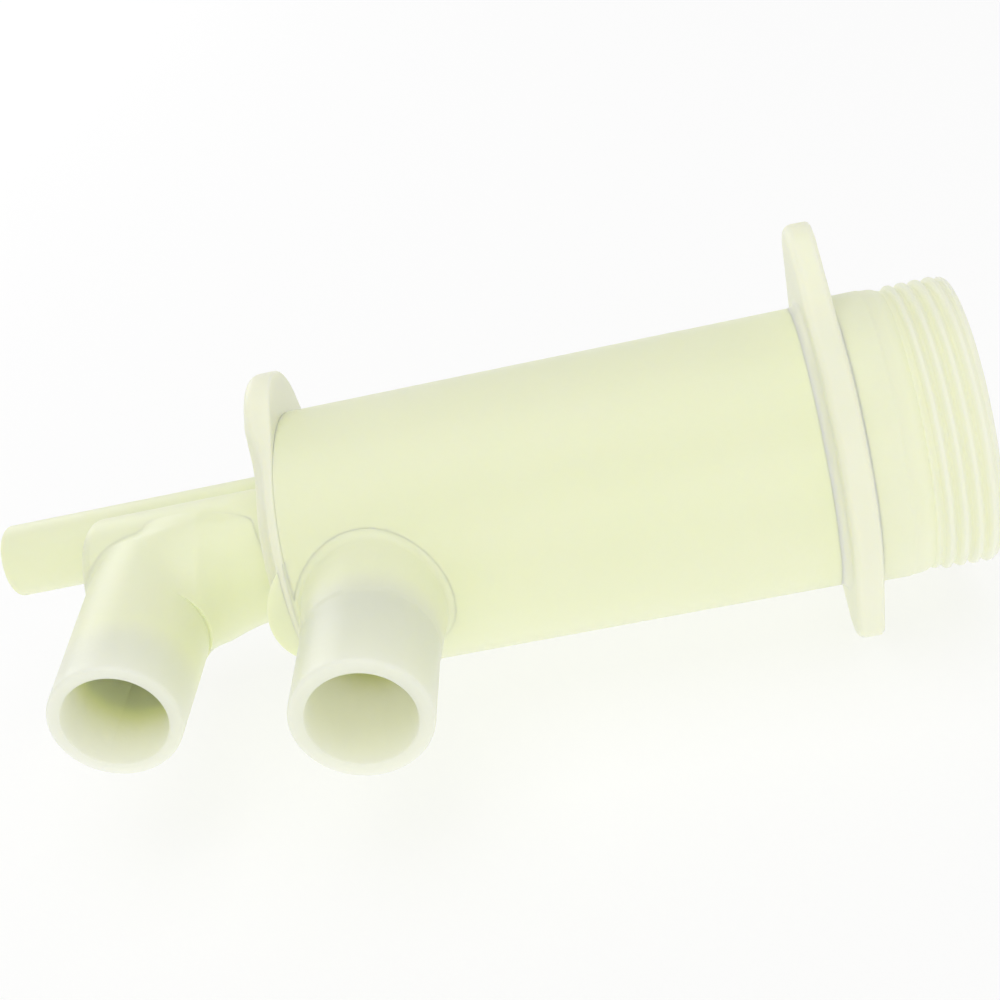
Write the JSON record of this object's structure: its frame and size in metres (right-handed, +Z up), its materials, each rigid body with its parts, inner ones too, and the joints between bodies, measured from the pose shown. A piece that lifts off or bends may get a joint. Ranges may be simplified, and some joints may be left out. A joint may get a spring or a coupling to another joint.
{
  "type": "marine fill body",
  "caption": "Deck fill body: threaded neck, lobed deck flange, wide barrel, end plate with an ear, coaxial branch tube, side hose ports and a vent tube.",
  "frame": {"origin": "on the barrel's axis, in the face of the deck flange that the deck rests on", "axes": "+X along the barrel towards the threaded neck, -Y the way both hose ports point, +Z up"},
  "size_m": [0.1715, 0.0783, 0.0663],
  "materials": {
    "neck_plastic": "natural translucent polymer, smooth, with a sharp moulded thread",
    "flange_plastic": "natural translucent polymer, thin and pale, rounded edges",
    "barrel_plastic": "natural translucent polymer, milky yellow-green, soft gloss",
    "port_plastic": "natural translucent polymer, milky, soft gloss, plain cut ends"
  },
  "bodies": {
    "root": {"threaded_neck": "neck_plastic", "neck_collar": "neck_plastic", "deck_flange": "flange_plastic", "flange_weld": "flange_plastic", "barrel": "barrel_plastic", "end_plate": "flange_plastic", "branch_tube": "barrel_plastic", "branch_end_cap": "barrel_plastic", "vent_tube": "barrel_plastic", "front_port_boss": "port_plastic", "front_port_tube": "port_plastic", "rear_port_boss": "port_plastic", "rear_port_tube": "port_plastic"}
  },
  "joints": []
}
